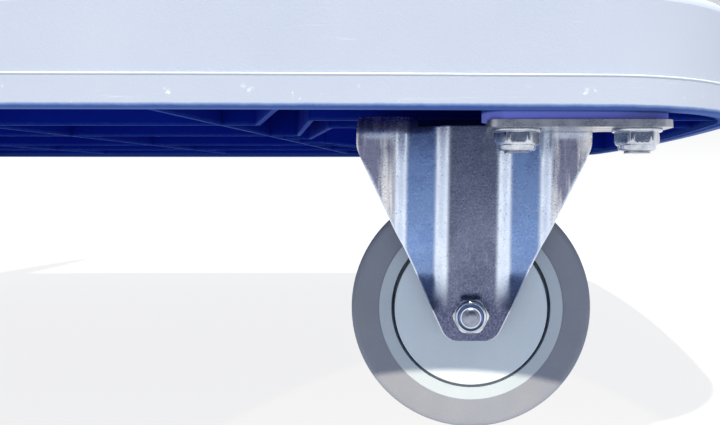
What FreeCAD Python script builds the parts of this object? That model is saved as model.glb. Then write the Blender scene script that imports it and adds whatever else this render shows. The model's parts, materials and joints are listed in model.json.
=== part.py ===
"""Platform trolley: moulded deck, two rigid casters in front, two braked swivels behind, folding handle.

Millimetres. +X is the front, +Z is up, and the origin is on the floor under the middle of the deck.
Casters are made at the origin for the right-hand side, whose outside faces -Y, then placed or mirrored.
"""
import FreeCAD, Part
import math
import os

V = FreeCAD.Vector

# Deck
DECK_LENGTH = 720.0
DECK_WIDTH = 440.0
SIDE_BOW = 8.0
END_BOW = 16.0
CORNER_R = 76.0
DECK_TOP = 171.5
RIDGE_Z = 139.7
BUMPER_BOTTOM = 127.6
BUMPER_THICKNESS = 5.5
BUMPER_STEP = 0.7
BUMPER_TOP_R = 4.4
BUMPER_LIP_R = 1.6
WALL_BOTTOM = 128.2
WALL = 3.0
PLATE_UNDERSIDE = 164.5
RIB = 2.2
RIB_BOTTOM = 130.0
RIB_YS = (49.0, 123.0, 198.0)
FRONT_RIB_YS = (108.0, 148.0, 198.0)
CROSS_RIB_XS = (108.0, -14.0, -136.0, -258.0)
JOG_START_X = 126.0
JOG_END_X = 159.0
CENTRE_RIB_Y = 21.0
MAT_INSET = 16.0
MAT_TOP = 172.3
MAT_FLOOR = 168.5
MAT_REAR_X = -262.0
MAT_GAP = 0.3

# Casters
CASTER_TOP = 124.5
PLATE_T = 2.7
PLATE_BOTTOM = CASTER_TOP - PLATE_T
RIGID_X = 232.0
RIGID_Y = 160.0
SWIVEL_X = -283.0
SWIVEL_Y = 138.0
TRAIL = 26.0
WHEEL_R = 50.0
HALF_TREAD = 16.0
TYRE_SEAT_R = 37.9
TYRE_SEAT_HALF = 15.2
HUB_HALF = 15.6
HUB_WEB_HALF = 6.0
HUB_BOSS_R = 14.0
HUB_BOSS_HALF = 12.0
HUB_BORE_R = 9.0
RECESS_R = 32.9
BEARING_R = 11.0
BEARING_IN = 5.0
SPACER_R = 6.0
SPACER_GAP = 0.3
DISC_R = 31.3
DISC_BACK = 14.5
DISC_FACE = 17.5
DISC_CHAMFER = 0.35
DISC_HOLE_R = 7.0
DISC_SKIRT_R = 30.0
DISC_SKIRT_WALL = 2.0
AXLE_R = 4.0
AXLE_FLATS = 13.0
AXLE_HEAD = 5.3
AXLE_PROUD = 9.0
AXLE_NUT = 6.3
AXLE_NUT_MOUTH = 7.9
FIT = 0.05
BOLT_R = 5.0
BOLT_FLATS = 15.0
BOLT_NUT = 6.2
BOLT_NUT_MOUTH = 8.2
BOLT_IN_DECK = 14.0
BOLT_END = 112.8
BOLT_OFFSET = 38.0
RIGID_BOLTS = (
    (17.4, -BOLT_OFFSET),
    (62.7, -BOLT_OFFSET),
    (-30.0, BOLT_OFFSET),
    (30.0, BOLT_OFFSET),
)
SWIVEL_BOLTS = ((-27.0, -40.0), (-27.0, 40.0), (27.0, -40.0), (27.0, 40.0))

# Rigid fork
LEG_FACE = 26.5
SHEET = 2.5
LEG_HALF_WIDTH = 46.5
FLUTE_DEPTH = 3.5
FLUTE_XS = (10.0, 15.0, 27.0, 31.0)
FLUTE_TOP_Z = 62.0
FLUTE_END_Z = 50.0
LEG_TIP_Z = 39.0
LEG_TIP_HALF = 9.6
LEG_SHOULDER_Z = 116.2
WING_TOP = 128.4
WING_INNER_X = 24.0
PANEL_REAR_X = 13.0
PANEL_FRONT_X = 5.6

# Swivel fork
FORK_FACE = 24.5
RACE_R = 30.0
CROWN_R = 34.0
CROWN_TOP = 116.4
RACE_BOTTOM = 116.8
WEB_TOP = 111.5
WEB_BOTTOM = 109.0
KINGPIN_R = 6.0
PEDAL_PIVOT = (-40.0, 105.0)

# Handle
HANDLE_X = -300.0
HANDLE_Y = 150.0
TUBE_R = 12.5
TUBE_WALL = 2.0
PIVOT_Z = 197.0
PIVOT_R = 5.0
HANDLE_AXIS_TOP = 822.5
BEND_R = 62.0
CROSS_BAR_Z = 330.0
CROSS_BAR_R = 10.0
GRIP_R = 16.5
GRIP_HALF = 80.0
CHEEK_IN = 13.5
CHEEK_T = 3.0
CHEEK_TOP = 232.0
LOCK_Z = 219.0
LOCK_R = 4.0
LOCK_KNOB_R = 9.0
SCREW_PLACES = ((-20.0, -26.0), (-20.0, 26.0), (20.0, -26.0), (20.0, 26.0))


def box(x0, x1, y0, y1, z0, z1):
    return Part.makeBox(x1 - x0, y1 - y0, z1 - z0, V(x0, y0, z0))


def rod(radius, start, end):
    line = V(*end) - V(*start)
    return Part.makeCylinder(radius, line.Length, V(*start), line)


def tube(outer, inner, start, end):
    return rod(outer, start, end).cut(rod(inner, start, end))


def fuse(shapes):
    return shapes[0].multiFuse(shapes[1:]).removeSplitter()


def prism(points, direction):
    """A polygon given by 3-D points, extruded."""
    corners = [V(*p) for p in points]
    return Part.Face(Part.makePolygon(corners + corners[:1])).extrude(V(*direction))


def edges_along(solid, axis):
    """Straight edges that run along an axis."""
    straight = [e for e in solid.Edges if isinstance(e.Curve, Part.Line)]
    return [e for e in straight if abs(e.tangentAt(e.FirstParameter).dot(V(*axis))) > 0.99]


def hexagon(flats, start, direction):
    """A hexagonal bar from start along direction, which is +-Y or +-Z, with corners towards +X and -X."""
    radius = flats / 2 / math.cos(math.pi / 6)
    along = V(*direction)
    side = V(1, 0, 0)
    up = along.cross(side).normalize()
    points = []
    for i in range(6):
        turn = math.radians(60 * i)
        points.append(V(*start) + side * (radius * math.cos(turn)) + up * (radius * math.sin(turn)))
    return Part.Face(Part.makePolygon(points + points[:1])).extrude(along)


def mirrored(shape):
    return shape.mirror(V(0, 0, 0), V(0, 1, 0))


def moved(shape, x, y):
    copy = shape.copy()
    copy.translate(V(x, y, 0))
    return copy


def save(name, shape):
    shape.exportStep(f"parts/{name}.step")


# ---- deck ----

def deck_slab(inset, z0, z1):
    """A slab with the deck's bowed outline, moved inwards by inset."""
    x = DECK_LENGTH / 2 - inset
    y = DECK_WIDTH / 2 - inset
    corner_x = x - END_BOW
    corner_y = y - SIDE_BOW
    corners = [V(corner_x, -corner_y), V(corner_x, corner_y), V(-corner_x, corner_y), V(-corner_x, -corner_y)]
    middles = [V(x, 0), V(0, y), V(-x, 0), V(0, -y)]
    sides = [Part.Arc(corners[i], middles[i], corners[(i + 1) % 4]).toShape() for i in range(4)]
    slab = Part.Face(Part.Wire(sides)).extrude(V(0, 0, z1 - z0))
    slab.translate(V(0, 0, z0))
    return slab.makeFillet(CORNER_R - inset, edges_along(slab, (0, 0, 1)))


def edge_bumper():
    """The pale band round the deck: a skirt that stands proud below a small ledge, and a plain band above."""
    band = deck_slab(BUMPER_STEP, RIDGE_Z - 1, DECK_TOP)
    top_edges = [e for e in band.Edges if e.BoundBox.ZMin > DECK_TOP - 0.01]
    band = band.makeFillet(BUMPER_TOP_R, top_edges)
    skirt = deck_slab(0, BUMPER_BOTTOM, RIDGE_Z)
    low_edges = [e for e in skirt.Edges if e.BoundBox.ZMax < BUMPER_BOTTOM + 0.01]
    skirt = skirt.makeFillet(BUMPER_LIP_R, low_edges)
    inside = deck_slab(BUMPER_THICKNESS, BUMPER_BOTTOM - 1, DECK_TOP + 1)
    return fuse([band, skirt]).cut(inside)


def wall(x0, y0, x1, y1):
    """A rib between two points, as thick as every rib and as deep as the hollow."""
    run = V(x1 - x0, y1 - y0)
    side = V(-run.y, run.x).normalize() * (RIB / 2)
    ends = [V(x0, y0) + side, V(x1, y1) + side, V(x1, y1) - side, V(x0, y0) - side]
    return prism([(p.x, p.y, RIB_BOTTOM) for p in ends], (0, 0, PLATE_UNDERSIDE + 1 - RIB_BOTTOM))


def ribs():
    walls = []
    half_length = DECK_LENGTH / 2
    for side in (-1, 1):
        for y in RIB_YS:
            walls.append(wall(-half_length, side * y, JOG_START_X, side * y))
        starts = (CENTRE_RIB_Y, RIB_YS[0], RIB_YS[1])
        for start_y, end_y in zip(starts, FRONT_RIB_YS):
            walls.append(wall(JOG_START_X, side * start_y, JOG_END_X, side * end_y))
            walls.append(wall(JOG_END_X, side * end_y, half_length, side * end_y))
        walls.append(wall(CROSS_RIB_XS[0], side * CENTRE_RIB_Y, JOG_START_X, side * CENTRE_RIB_Y))
        walls.append(wall(JOG_START_X, side * RIB_YS[2], JOG_END_X, side * RIB_YS[2]))
    for x in CROSS_RIB_XS:
        walls.append(wall(x, -DECK_WIDTH / 2, x, DECK_WIDTH / 2))
    return walls


def long_boss(x0, x1, y, radius):
    """A pad with round ends, from the deck's plate down to the caster plate."""
    ends = [rod(radius, (x, y, CASTER_TOP), (x, y, PLATE_UNDERSIDE + 1)) for x in (x0 + radius, x1 - radius)]
    middle = box(x0 + radius, x1 - radius, y - radius, y + radius, CASTER_TOP, PLATE_UNDERSIDE + 1)
    return fuse([middle] + ends)


def bosses():
    pads = []
    for side in (-1, 1):
        outer_y = side * (RIGID_Y + BOLT_OFFSET)
        inner_y = side * (RIGID_Y - BOLT_OFFSET)
        pads.append(long_boss(RIGID_X + 4, RIGID_X + 74, outer_y, 12.0))
        pads.append(long_boss(RIGID_X - 44, RIGID_X + 44, inner_y, 12.0))
        for dx, dy in SWIVEL_BOLTS:
            x = SWIVEL_X + dx
            y = side * SWIVEL_Y + dy
            pads.append(rod(13.0, (x, y, CASTER_TOP), (x, y, PLATE_UNDERSIDE + 1)))
    return pads


def deck_body(fasteners):
    shell = deck_slab(BUMPER_THICKNESS, WALL_BOTTOM, DECK_TOP)
    hollow = deck_slab(BUMPER_THICKNESS + WALL, WALL_BOTTOM - 1, PLATE_UNDERSIDE)
    pocket = deck_slab(MAT_INSET, MAT_FLOOR, DECK_TOP + 1).cut(
        box(-DECK_LENGTH, MAT_REAR_X, -DECK_WIDTH, DECK_WIDTH, 0, DECK_TOP + 2)
    )
    inner = deck_slab(BUMPER_THICKNESS + 1, CASTER_TOP, PLATE_UNDERSIDE + 1)
    structure = fuse(ribs() + bosses()).common(inner)
    return fuse([shell.cut(hollow), structure]).cut(pocket).cut(fasteners)


def deck_mat():
    mat = deck_slab(MAT_INSET + MAT_GAP, MAT_FLOOR, MAT_TOP)
    return mat.cut(box(-DECK_LENGTH, MAT_REAR_X + MAT_GAP, -DECK_WIDTH, DECK_WIDTH, 0, MAT_TOP + 2))


# ---- wheel, made about the Y axis at the origin, then raised by the axle's height ----

def tyre():
    seat = [V(TYRE_SEAT_R, TYRE_SEAT_HALF), V(TYRE_SEAT_R, -TYRE_SEAT_HALF)]
    shoulder = [V(46.5, -HALF_TREAD), V(48.9, -15.2), V(49.6, -12.8)]
    flipped = [V(p.x, -p.y) for p in reversed(shoulder)]
    edges = [
        Part.LineSegment(seat[0], seat[1]),
        Part.LineSegment(seat[1], shoulder[0]),
        Part.Arc(*shoulder),
        Part.Arc(shoulder[2], V(WHEEL_R, 0), flipped[0]),
        Part.Arc(*flipped),
        Part.LineSegment(flipped[2], seat[0]),
    ]
    face = Part.Face(Part.Wire([e.toShape() for e in edges]))
    return face.revolve(V(0, 0, 0), V(0, 1, 0), 360)


def hub():
    """A rim and a boss joined by a web, bored for a bearing from each side."""
    body = rod(TYRE_SEAT_R, (0, -HUB_HALF, 0), (0, HUB_HALF, 0))
    for side in (-1, 1):
        body = body.cut(rod(RECESS_R, (0, side * HUB_WEB_HALF, 0), (0, side * HUB_HALF, 0)))
    body = body.fuse(rod(HUB_BOSS_R, (0, -HUB_BOSS_HALF, 0), (0, HUB_BOSS_HALF, 0)))
    body = body.cut(rod(HUB_BORE_R, (0, -HUB_BOSS_HALF, 0), (0, HUB_BOSS_HALF, 0)))
    for side in (-1, 1):
        body = body.cut(rod(BEARING_R, (0, side * BEARING_IN, 0), (0, side * HUB_BOSS_HALF, 0)))
    return body.removeSplitter()


def wheel_covers():
    """Two discs, each on a skirt that stands on the hub's web."""
    covers = []
    for side in (-1, 1):
        disc = rod(DISC_R, (0, side * DISC_BACK, 0), (0, side * DISC_FACE, 0))
        rim = [e for e in disc.Edges if abs(abs(e.BoundBox.Center.y) - DISC_FACE) < 0.01]
        disc = disc.makeChamfer(DISC_CHAMFER, rim)
        foot = (0, side * HUB_WEB_HALF, 0)
        skirt = tube(DISC_SKIRT_R, DISC_SKIRT_R - DISC_SKIRT_WALL, foot, (0, side * DISC_BACK, 0))
        hole = rod(DISC_HOLE_R, foot, (0, side * (DISC_FACE + 1), 0))
        covers.append(disc.fuse(skirt).cut(hole).removeSplitter())
    return Part.makeCompound(covers)


def bearings():
    ends = [((0, side * BEARING_IN, 0), (0, side * HUB_BOSS_HALF, 0)) for side in (-1, 1)]
    return Part.makeCompound([tube(BEARING_R, AXLE_R + FIT, start, end) for start, end in ends])


def spacers(leg_inside):
    start_y = HUB_BOSS_HALF + SPACER_GAP
    ends = [((0, side * start_y, 0), (0, side * leg_inside, 0)) for side in (-1, 1)]
    return Part.makeCompound([tube(SPACER_R, AXLE_R, start, end) for start, end in ends])


def axle_bolt(leg_face):
    """A hexagon head bolt with its head on the inner leg and a dimple in the end of its thread."""
    end = -leg_face - AXLE_PROUD
    shank = rod(AXLE_R, (0, end, 0), (0, leg_face, 0))
    head = hexagon(AXLE_FLATS, (0, leg_face, 0), (0, AXLE_HEAD, 0))
    dimple = Part.makeCone(1.6, 0.2, 1.0, V(0, end, 0), V(0, 1, 0))
    return fuse([shank, head]).cut(dimple)


def axle_nut(leg_face):
    """A lock nut: a bevelled hexagon, then a round mouth with a seat for its nylon ring."""
    start = -leg_face
    mouth = start - AXLE_NUT_MOUTH
    body = hexagon(AXLE_FLATS, (0, start, 0), (0, -AXLE_NUT, 0))
    bevel = Part.makeCone(8.4, 6.6, AXLE_NUT, V(0, start, 0), V(0, -1, 0))
    collar = rod(6.1, (0, start, 0), (0, mouth, 0))
    bore = rod(AXLE_R, (0, start, 0), (0, mouth - 1, 0))
    seat = rod(4.95, (0, mouth + 0.6, 0), (0, mouth - 1, 0))
    return fuse([body.common(bevel), collar]).cut(bore).cut(seat)


# ---- rigid caster ----

def rigid_plate(bolt_holes):
    """A plate between the legs, with an ear under the deck's rim and a wide inner half."""
    narrow = LEG_FACE - SHEET - FLUTE_DEPTH - 0.5
    outline = [
        (-46, -narrow), (6, -narrow), (6, -50), (74, -50), (74, -26), (48, -26), (48, 50), (-46, 50),
    ]
    plate = prism([(x, y, PLATE_BOTTOM) for x, y in outline], (0, 0, PLATE_T))
    plate = plate.makeFillet(5.0, edges_along(plate, (0, 0, 1)))
    return plate.cut(rigid_legs()).cut(bolt_holes)


def flute_section(depth, z):
    """The leg's pressed section at one height: flat centre, two channels, flat wings."""
    centre, channel_in, channel_out, wing = FLUTE_XS
    half = [(centre, 0), (channel_in, depth), (channel_out, depth), (wing, 0), (LEG_HALF_WIDTH, 0)]
    across = [(-x, d) for x, d in reversed(half)] + half
    outside = [V(x, -LEG_FACE + d, z) for x, d in across]
    inside = [V(x, -LEG_FACE + d + SHEET, z) for x, d in reversed(across)]
    return Part.makePolygon(outside + inside + outside[:1])


def rigid_legs():
    """Both pressed legs. The rear wing stands above the plate, and the middle panel is level with its top."""
    sections = [
        flute_section(0, LEG_TIP_Z - 1),
        flute_section(0, FLUTE_END_Z),
        flute_section(FLUTE_DEPTH, FLUTE_TOP_Z),
        flute_section(FLUTE_DEPTH, WING_TOP),
    ]
    leg = Part.makeLoft(sections, True, True)
    legs = fuse([leg, mirrored(leg)])
    outline = [
        (-LEG_HALF_WIDTH, WING_TOP), (-LEG_HALF_WIDTH, LEG_SHOULDER_Z), (-LEG_TIP_HALF, LEG_TIP_Z),
        (LEG_TIP_HALF, LEG_TIP_Z), (LEG_HALF_WIDTH, LEG_SHOULDER_Z), (LEG_HALF_WIDTH, PLATE_BOTTOM),
        (PANEL_FRONT_X, PLATE_BOTTOM), (PANEL_FRONT_X, CASTER_TOP), (-PANEL_REAR_X, CASTER_TOP),
        (-PANEL_REAR_X, PLATE_BOTTOM), (-WING_INNER_X, PLATE_BOTTOM), (-WING_INNER_X, WING_TOP),
    ]
    blank = prism([(x, -LEG_FACE - 1, z) for x, z in outline], (0, 2 * LEG_FACE + 2, 0))
    tip = [e for e in edges_along(blank, (0, 1, 0)) if e.BoundBox.ZMax < LEG_TIP_Z + 1]
    blank = blank.makeFillet(7.0, tip)
    shoulder = [e for e in edges_along(blank, (0, 1, 0)) if abs(e.BoundBox.ZMax - LEG_SHOULDER_Z) < 0.1]
    blank = blank.makeFillet(12.0, shoulder)
    return legs.common(blank)


def rigid_fork(bolt_holes):
    web_y = LEG_FACE - SHEET
    web = box(-40, LEG_HALF_WIDTH - 1, -web_y, web_y, PLATE_BOTTOM - PLATE_T, PLATE_BOTTOM)
    fork = fuse([rigid_legs(), web])
    axle_hole = rod(AXLE_R, (0, -40, WHEEL_R), (0, 40, WHEEL_R))
    return fork.cut(axle_hole).cut(bolt_holes)


# ---- swivel caster, made with its swivel axis at the origin and its wheel trailing to -X ----

def swivel_plate(bolt_holes):
    plate = box(-38, 38, -52, 52, PLATE_BOTTOM, CASTER_TOP)
    plate = plate.makeFillet(8.0, edges_along(plate, (0, 0, 1)))
    return plate.cut(bolt_holes).cut(rod(KINGPIN_R, (0, 0, 100), (0, 0, 130)))


def swivel_race():
    cup = Part.makeCone(RACE_R - 2, RACE_R, PLATE_BOTTOM - RACE_BOTTOM, V(0, 0, RACE_BOTTOM), V(0, 0, 1))
    return cup.cut(rod(KINGPIN_R, (0, 0, 100), (0, 0, 130)))


def kingpin():
    shank = rod(KINGPIN_R, (0, 0, WEB_BOTTOM - 6), (0, 0, CASTER_TOP))
    foot = rod(9, (0, 0, WEB_BOTTOM - 6), (0, 0, WEB_BOTTOM - 0.3))
    return fuse([shank, foot])


def swivel_fork():
    crown = Part.makeCone(CROWN_R, CROWN_R - 4, CROWN_TOP - WEB_TOP, V(0, 0, WEB_TOP), V(0, 0, 1))
    web = box(-46, 24, -FORK_FACE, FORK_FACE, WEB_BOTTOM, WEB_TOP)
    side = [(24, WEB_BOTTOM), (24, 98), (-16, 42), (-26, 37), (-36, 42), (-41, 54), (-46, WEB_BOTTOM)]
    legs = []
    for y in (-FORK_FACE, FORK_FACE - SHEET):
        legs.append(prism([(x, y, z) for x, z in side], (0, SHEET, 0)))
    skirt = fuse([crown, rod(CROWN_R, (0, 0, WEB_BOTTOM), (0, 0, WEB_TOP)), web] + legs)
    x, z = PEDAL_PIVOT
    holes = [
        rod(KINGPIN_R + FIT, (0, 0, 100), (0, 0, 130)),
        rod(AXLE_R, (-TRAIL, -40, WHEEL_R), (-TRAIL, 40, WHEEL_R)),
        rod(2.5 + FIT, (x, -40, z), (x, 40, z)),
    ]
    return skirt.cut(Part.makeCompound(holes))


def brake_pedal():
    """A foot pedal on trunnions in the fork, with a shoe above the tread."""
    x, z = PEDAL_PIVOT
    trunnion = rod(2.5, (x, -FORK_FACE, z), (x, FORK_FACE, z))
    barrel = rod(3.0, (x, -21, z), (x, 21, z))
    side = [
        (x + 1, z + 2), (x - 18, z + 2), (x - 36, z - 4),
        (x - 36, z - 8), (x - 18, z - 4), (x + 1, z - 2),
    ]
    tread = prism([(px, -17, pz) for px, pz in side], (0, 34, 0))
    tread = tread.makeFillet(3.0, [e for e in edges_along(tread, (0, 0, 1)) if e.BoundBox.XMax < x - 30])
    return fuse([trunnion, barrel, tread])


# ---- handle ----

def handle_path(radius):
    """The U of the handle as one bar of the given radius."""
    arc_mid = BEND_R * (1 - math.cos(math.pi / 4))
    top_y = HANDLE_Y - BEND_R
    corner_z = HANDLE_AXIS_TOP - BEND_R
    foot = V(HANDLE_X, -HANDLE_Y, PIVOT_Z - 12)
    right_low = V(HANDLE_X, -HANDLE_Y, corner_z)
    right_mid = V(HANDLE_X, -HANDLE_Y + arc_mid, HANDLE_AXIS_TOP - arc_mid)
    right_high = V(HANDLE_X, -top_y, HANDLE_AXIS_TOP)
    right = (right_high, right_mid, right_low, foot)
    left_high, left_mid, left_low, left_foot = [V(p.x, -p.y, p.z) for p in right]
    edges = [
        Part.LineSegment(foot, right_low),
        Part.Arc(right_low, right_mid, right_high),
        Part.LineSegment(right_high, left_high),
        Part.Arc(left_high, left_mid, left_low),
        Part.LineSegment(left_low, left_foot),
    ]
    path = Part.Wire([e.toShape() for e in edges])
    section = Part.Wire([Part.Circle(foot, V(0, 0, 1), radius).toShape()])
    return path.makePipeShell([section], True, True)


def handle_tube():
    bar = handle_path(TUBE_R).cut(handle_path(TUBE_R - TUBE_WALL))
    pivots = rod(PIVOT_R + FIT, (HANDLE_X, -200, PIVOT_Z), (HANDLE_X, 200, PIVOT_Z))
    lock_hole = rod(LOCK_R + 0.5, (HANDLE_X, -200, LOCK_Z), (HANDLE_X, -HANDLE_Y, LOCK_Z))
    return bar.cut(pivots).cut(lock_hole)


def cross_bar():
    bar = rod(CROSS_BAR_R, (HANDLE_X, -HANDLE_Y, CROSS_BAR_Z), (HANDLE_X, HANDLE_Y, CROSS_BAR_Z))
    for side in (-1, 1):
        leg = rod(TUBE_R, (HANDLE_X, side * HANDLE_Y, 250), (HANDLE_X, side * HANDLE_Y, 400))
        bar = bar.cut(leg)
    return bar


def handle_grip():
    start = (HANDLE_X, -GRIP_HALF, HANDLE_AXIS_TOP)
    end = (HANDLE_X, GRIP_HALF, HANDLE_AXIS_TOP)
    sleeve = rod(GRIP_R, start, end)
    sleeve = sleeve.makeFillet(2.0, [e for e in sleeve.Edges if isinstance(e.Curve, Part.Circle)])
    return sleeve.cut(rod(TUBE_R, start, end))


def screw(x, y):
    """A domed screw through the bracket's foot into the deck."""
    head = Part.makeCone(5.0, 3.2, 2.6, V(x, y, DECK_TOP + CHEEK_T), V(0, 0, 1))
    shank = rod(3.0, (x, y, PLATE_UNDERSIDE - 6), (x, y, DECK_TOP + CHEEK_T))
    return fuse([head, shank])


def hinge_bracket(screws):
    """Two cheeks on a foot, at the right-hand leg. The outer cheek also guides the lock plunger."""
    centre = -HANDLE_Y
    foot = box(HANDLE_X - 26, HANDLE_X + 26, centre - 32, centre + 32, DECK_TOP, DECK_TOP + CHEEK_T)
    foot = foot.makeFillet(6.0, edges_along(foot, (0, 0, 1)))
    half = [(24, DECK_TOP), (14, CHEEK_TOP - 8), (8, CHEEK_TOP)]
    side = half + [(-x, z) for x, z in reversed(half)]
    cheeks = []
    for y in (centre - CHEEK_IN - CHEEK_T, centre + CHEEK_IN):
        cheeks.append(prism([(HANDLE_X + x, y, z) for x, z in side], (0, CHEEK_T, 0)))
    pivot = rod(PIVOT_R, (HANDLE_X, centre - 40, PIVOT_Z), (HANDLE_X, centre + 40, PIVOT_Z))
    return fuse([foot] + cheeks).cut(pivot).cut(screws)


def pivot_pin():
    reach = CHEEK_IN + CHEEK_T
    shank = rod(PIVOT_R, (HANDLE_X, -HANDLE_Y - reach, PIVOT_Z), (HANDLE_X, -HANDLE_Y + reach, PIVOT_Z))
    outer = rod(9, (HANDLE_X, -HANDLE_Y - reach - 4, PIVOT_Z), (HANDLE_X, -HANDLE_Y - reach, PIVOT_Z))
    inner = rod(8, (HANDLE_X, -HANDLE_Y + reach, PIVOT_Z), (HANDLE_X, -HANDLE_Y + reach + 3, PIVOT_Z))
    return fuse([shank, outer, inner])


def lock_plunger():
    """The pull pin that locks the handle upright, drawn out to its released place."""
    outside = -HANDLE_Y - CHEEK_IN - CHEEK_T
    stem = rod(LOCK_R, (HANDLE_X, outside - 8, LOCK_Z), (HANDLE_X, -HANDLE_Y - CHEEK_IN, LOCK_Z))
    knob = rod(LOCK_KNOB_R, (HANDLE_X, outside - 20, LOCK_Z), (HANDLE_X, outside - 8, LOCK_Z))
    knob = knob.makeFillet(2.0, [e for e in knob.Edges if isinstance(e.Curve, Part.Circle)])
    return fuse([stem, knob])


# ---- fasteners ----

def caster_bolt(x, y):
    shank = rod(BOLT_R, (x, y, BOLT_END), (x, y, PLATE_UNDERSIDE - BOLT_IN_DECK))
    tip = [e for e in shank.Edges if e.BoundBox.ZMax < BOLT_END + 0.01]
    return shank.makeChamfer(0.8, tip)


def caster_nut(x, y):
    """A flanged lock nut: flange, bevelled hexagon and tapered mouth."""
    flange = rod(9.4, (x, y, PLATE_BOTTOM), (x, y, PLATE_BOTTOM - 1.0))
    body = hexagon(BOLT_FLATS, (x, y, PLATE_BOTTOM), (0, 0, -BOLT_NUT))
    bevel = Part.makeCone(9.6, 7.9, BOLT_NUT, V(x, y, PLATE_BOTTOM), V(0, 0, -1))
    taper = V(x, y, PLATE_BOTTOM - BOLT_NUT)
    collar = Part.makeCone(7.2, 6.2, BOLT_NUT_MOUTH - BOLT_NUT, taper, V(0, 0, -1))
    bore = rod(BOLT_R, (x, y, PLATE_BOTTOM), (x, y, BOLT_END - 1))
    return fuse([flange, body.common(bevel), collar]).cut(bore)


def raised(shape, x, y):
    """A wheel piece moved to its axle, at the wheel's radius above the floor."""
    copy = shape.copy()
    copy.translate(V(x, y, WHEEL_R))
    return copy


def save_pair(place, name, shape):
    """Saves the right-hand piece and its mirror image."""
    save(f"{place}_right_{name}", shape)
    save(f"{place}_left_{name}", mirrored(shape))


def save_wheel(place, x, y, leg_face):
    pieces = {
        "tyre": tyre(),
        "hub": hub(),
        "wheel_covers": wheel_covers(),
        "bearings": bearings(),
        "axle_spacers": spacers(leg_face - SHEET),
        "axle_bolt": axle_bolt(leg_face),
        "axle_nut": axle_nut(leg_face),
    }
    for name, shape in pieces.items():
        save_pair(place, name, raised(shape, x, y))


def main():
    os.makedirs("parts", exist_ok=True)
    bolt_places = [(RIGID_X + dx, -RIGID_Y + dy) for dx, dy in RIGID_BOLTS]
    bolt_places += [(SWIVEL_X + dx, -SWIVEL_Y + dy) for dx, dy in SWIVEL_BOLTS]
    bolts = [caster_bolt(x, y) for x, y in bolt_places]
    nuts = [caster_nut(x, y) for x, y in bolt_places]
    all_bolts = Part.makeCompound(bolts + [mirrored(b) for b in bolts])
    save("caster_bolts", all_bolts)
    save("caster_nuts", Part.makeCompound(nuts + [mirrored(n) for n in nuts]))

    right_screws = [screw(HANDLE_X + dx, -HANDLE_Y + dy) for dx, dy in SCREW_PLACES]
    all_screws = Part.makeCompound(right_screws + [mirrored(s) for s in right_screws])
    save("bracket_screws", all_screws)
    save("deck_body", deck_body(Part.makeCompound(all_bolts.Solids + all_screws.Solids)))
    save("edge_bumper", edge_bumper())
    save("deck_mat", deck_mat())

    holes = Part.makeCompound([rod(BOLT_R, (x, y, 100), (x, y, 130)) for x, y in RIGID_BOLTS])
    save_pair("front", "caster_plate", moved(rigid_plate(holes), RIGID_X, -RIGID_Y))
    save_pair("front", "fork", moved(rigid_fork(holes), RIGID_X, -RIGID_Y))
    save_wheel("front", RIGID_X, -RIGID_Y, LEG_FACE)

    holes = Part.makeCompound([rod(BOLT_R, (x, y, 100), (x, y, 130)) for x, y in SWIVEL_BOLTS])
    save_pair("rear", "caster_plate", moved(swivel_plate(holes), SWIVEL_X, -SWIVEL_Y))
    save_pair("rear", "swivel_race", moved(swivel_race(), SWIVEL_X, -SWIVEL_Y))
    save_pair("rear", "kingpin", moved(kingpin(), SWIVEL_X, -SWIVEL_Y))
    save_pair("rear", "fork", moved(swivel_fork(), SWIVEL_X, -SWIVEL_Y))
    save_pair("rear", "brake_pedal", moved(brake_pedal(), SWIVEL_X, -SWIVEL_Y))
    save_wheel("rear", SWIVEL_X - TRAIL, -SWIVEL_Y, FORK_FACE)

    stem_hole = rod(LOCK_R + FIT, (HANDLE_X, -HANDLE_Y - 30, LOCK_Z), (HANDLE_X, -HANDLE_Y, LOCK_Z))
    bracket = hinge_bracket(Part.makeCompound(right_screws))
    save("right_hinge_bracket", bracket.cut(stem_hole))
    save("left_hinge_bracket", mirrored(bracket))
    pins = pivot_pin()
    save("pivot_pins", Part.makeCompound([pins, mirrored(pins)]))
    save("lock_plunger", lock_plunger())
    save("handle_tube", handle_tube())
    save("cross_bar", cross_bar())
    save("handle_grip", handle_grip())


main()
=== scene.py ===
"""Looks for the platform trolley: materials on every CAD node, and finer pieces where they show.

Metres, in the CAD frame: +X is the front, +Z is up, and the floor is at z = 0.
"""
import json
import math

import bmesh
import bpy
from mathutils import Matrix, Vector
from mathutils.geometry import convex_hull_2d


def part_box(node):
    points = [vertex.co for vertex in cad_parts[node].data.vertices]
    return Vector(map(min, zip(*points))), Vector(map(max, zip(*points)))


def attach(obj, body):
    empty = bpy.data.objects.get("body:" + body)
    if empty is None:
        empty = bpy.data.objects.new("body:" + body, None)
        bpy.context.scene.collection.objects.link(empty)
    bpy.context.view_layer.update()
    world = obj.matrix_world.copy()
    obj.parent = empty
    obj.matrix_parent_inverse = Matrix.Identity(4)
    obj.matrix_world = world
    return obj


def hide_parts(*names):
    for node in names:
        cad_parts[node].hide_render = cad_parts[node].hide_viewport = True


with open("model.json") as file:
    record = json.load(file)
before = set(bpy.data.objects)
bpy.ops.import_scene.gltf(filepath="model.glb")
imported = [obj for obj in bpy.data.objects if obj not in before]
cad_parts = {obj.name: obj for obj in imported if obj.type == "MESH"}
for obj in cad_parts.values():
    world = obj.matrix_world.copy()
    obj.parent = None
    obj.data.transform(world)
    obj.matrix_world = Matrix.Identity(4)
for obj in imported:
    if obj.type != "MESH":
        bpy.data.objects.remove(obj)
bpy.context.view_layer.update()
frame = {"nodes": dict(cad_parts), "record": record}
nodes = frame["nodes"]

MM = 0.001
SIDES = {"right": -1, "left": 1}

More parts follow.
